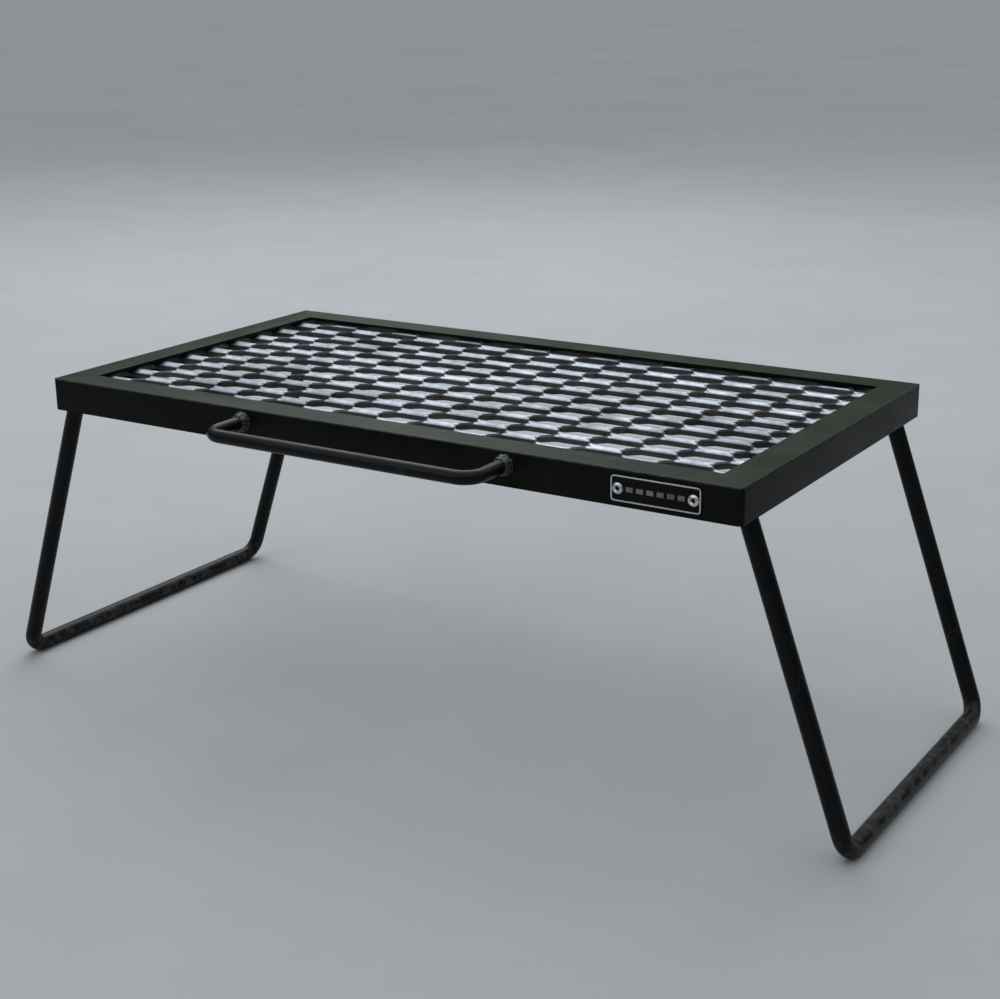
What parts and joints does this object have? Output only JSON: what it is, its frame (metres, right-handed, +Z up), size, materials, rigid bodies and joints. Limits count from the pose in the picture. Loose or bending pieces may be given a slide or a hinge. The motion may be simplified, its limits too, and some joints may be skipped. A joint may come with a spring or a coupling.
{
  "type": "folding camp grill",
  "caption": "Rectangular steel-angle camp grill with an expanded-metal panel, a front carry handle and U-shaped bar legs that fold in under it.",
  "frame": {"origin": "on the ground under the middle of the whole grill, carry handle included, legs open", "axes": "+X along the frame's length to the right seen from the front, the handle is on the -Y side, +Z up"},
  "size_m": [0.745, 0.365, 0.2526],
  "materials": {
    "frame_paint": "satin dark olive black paint",
    "leg_paint": "satin black paint",
    "mesh_steel": "dull silvery steel",
    "weld_metal": "bare weld",
    "hinge_steel": "plain steel",
    "plate_black": "black with bright raised border",
    "rivet_alu": "satin"
  },
  "bodies": {
    "frame": {"front_rail": "frame_paint", "back_rail": "frame_paint", "left_rail": "frame_paint", "right_rail": "frame_paint", "corner_welds": "frame_paint", "grill_mesh": "mesh_steel", "mesh_tacks": "weld_metal", "hinge_rod_left": "hinge_steel", "hinge_rod_right": "hinge_steel", "hinge_rod_welds": "weld_metal", "spacer_tubes": "hinge_steel", "handle": "leg_paint", "handle_welds": "weld_metal", "nameplate": "plate_black", "nameplate_rivets": "rivet_alu"},
    "leg_left": {"left_leg": "leg_paint", "left_leg_sleeves": "leg_paint", "left_leg_welds": "weld_metal"},
    "leg_right": {"right_leg": "leg_paint", "right_leg_sleeves": "leg_paint", "right_leg_welds": "weld_metal"}
  },
  "joints": [
    {"name": "left_leg_fold", "type": "hinge", "parent": "frame", "child": "leg_left", "pos_m": [-0.28522, 0.0225, 0.23462], "axis": [0, -1, 0], "range_deg": [0, 109.5]},
    {"name": "right_leg_fold", "type": "hinge", "parent": "frame", "child": "leg_right", "pos_m": [0.28522, 0.0225, 0.23462], "axis": [0, 1, 0], "range_deg": [0, 109.5]}
  ]
}
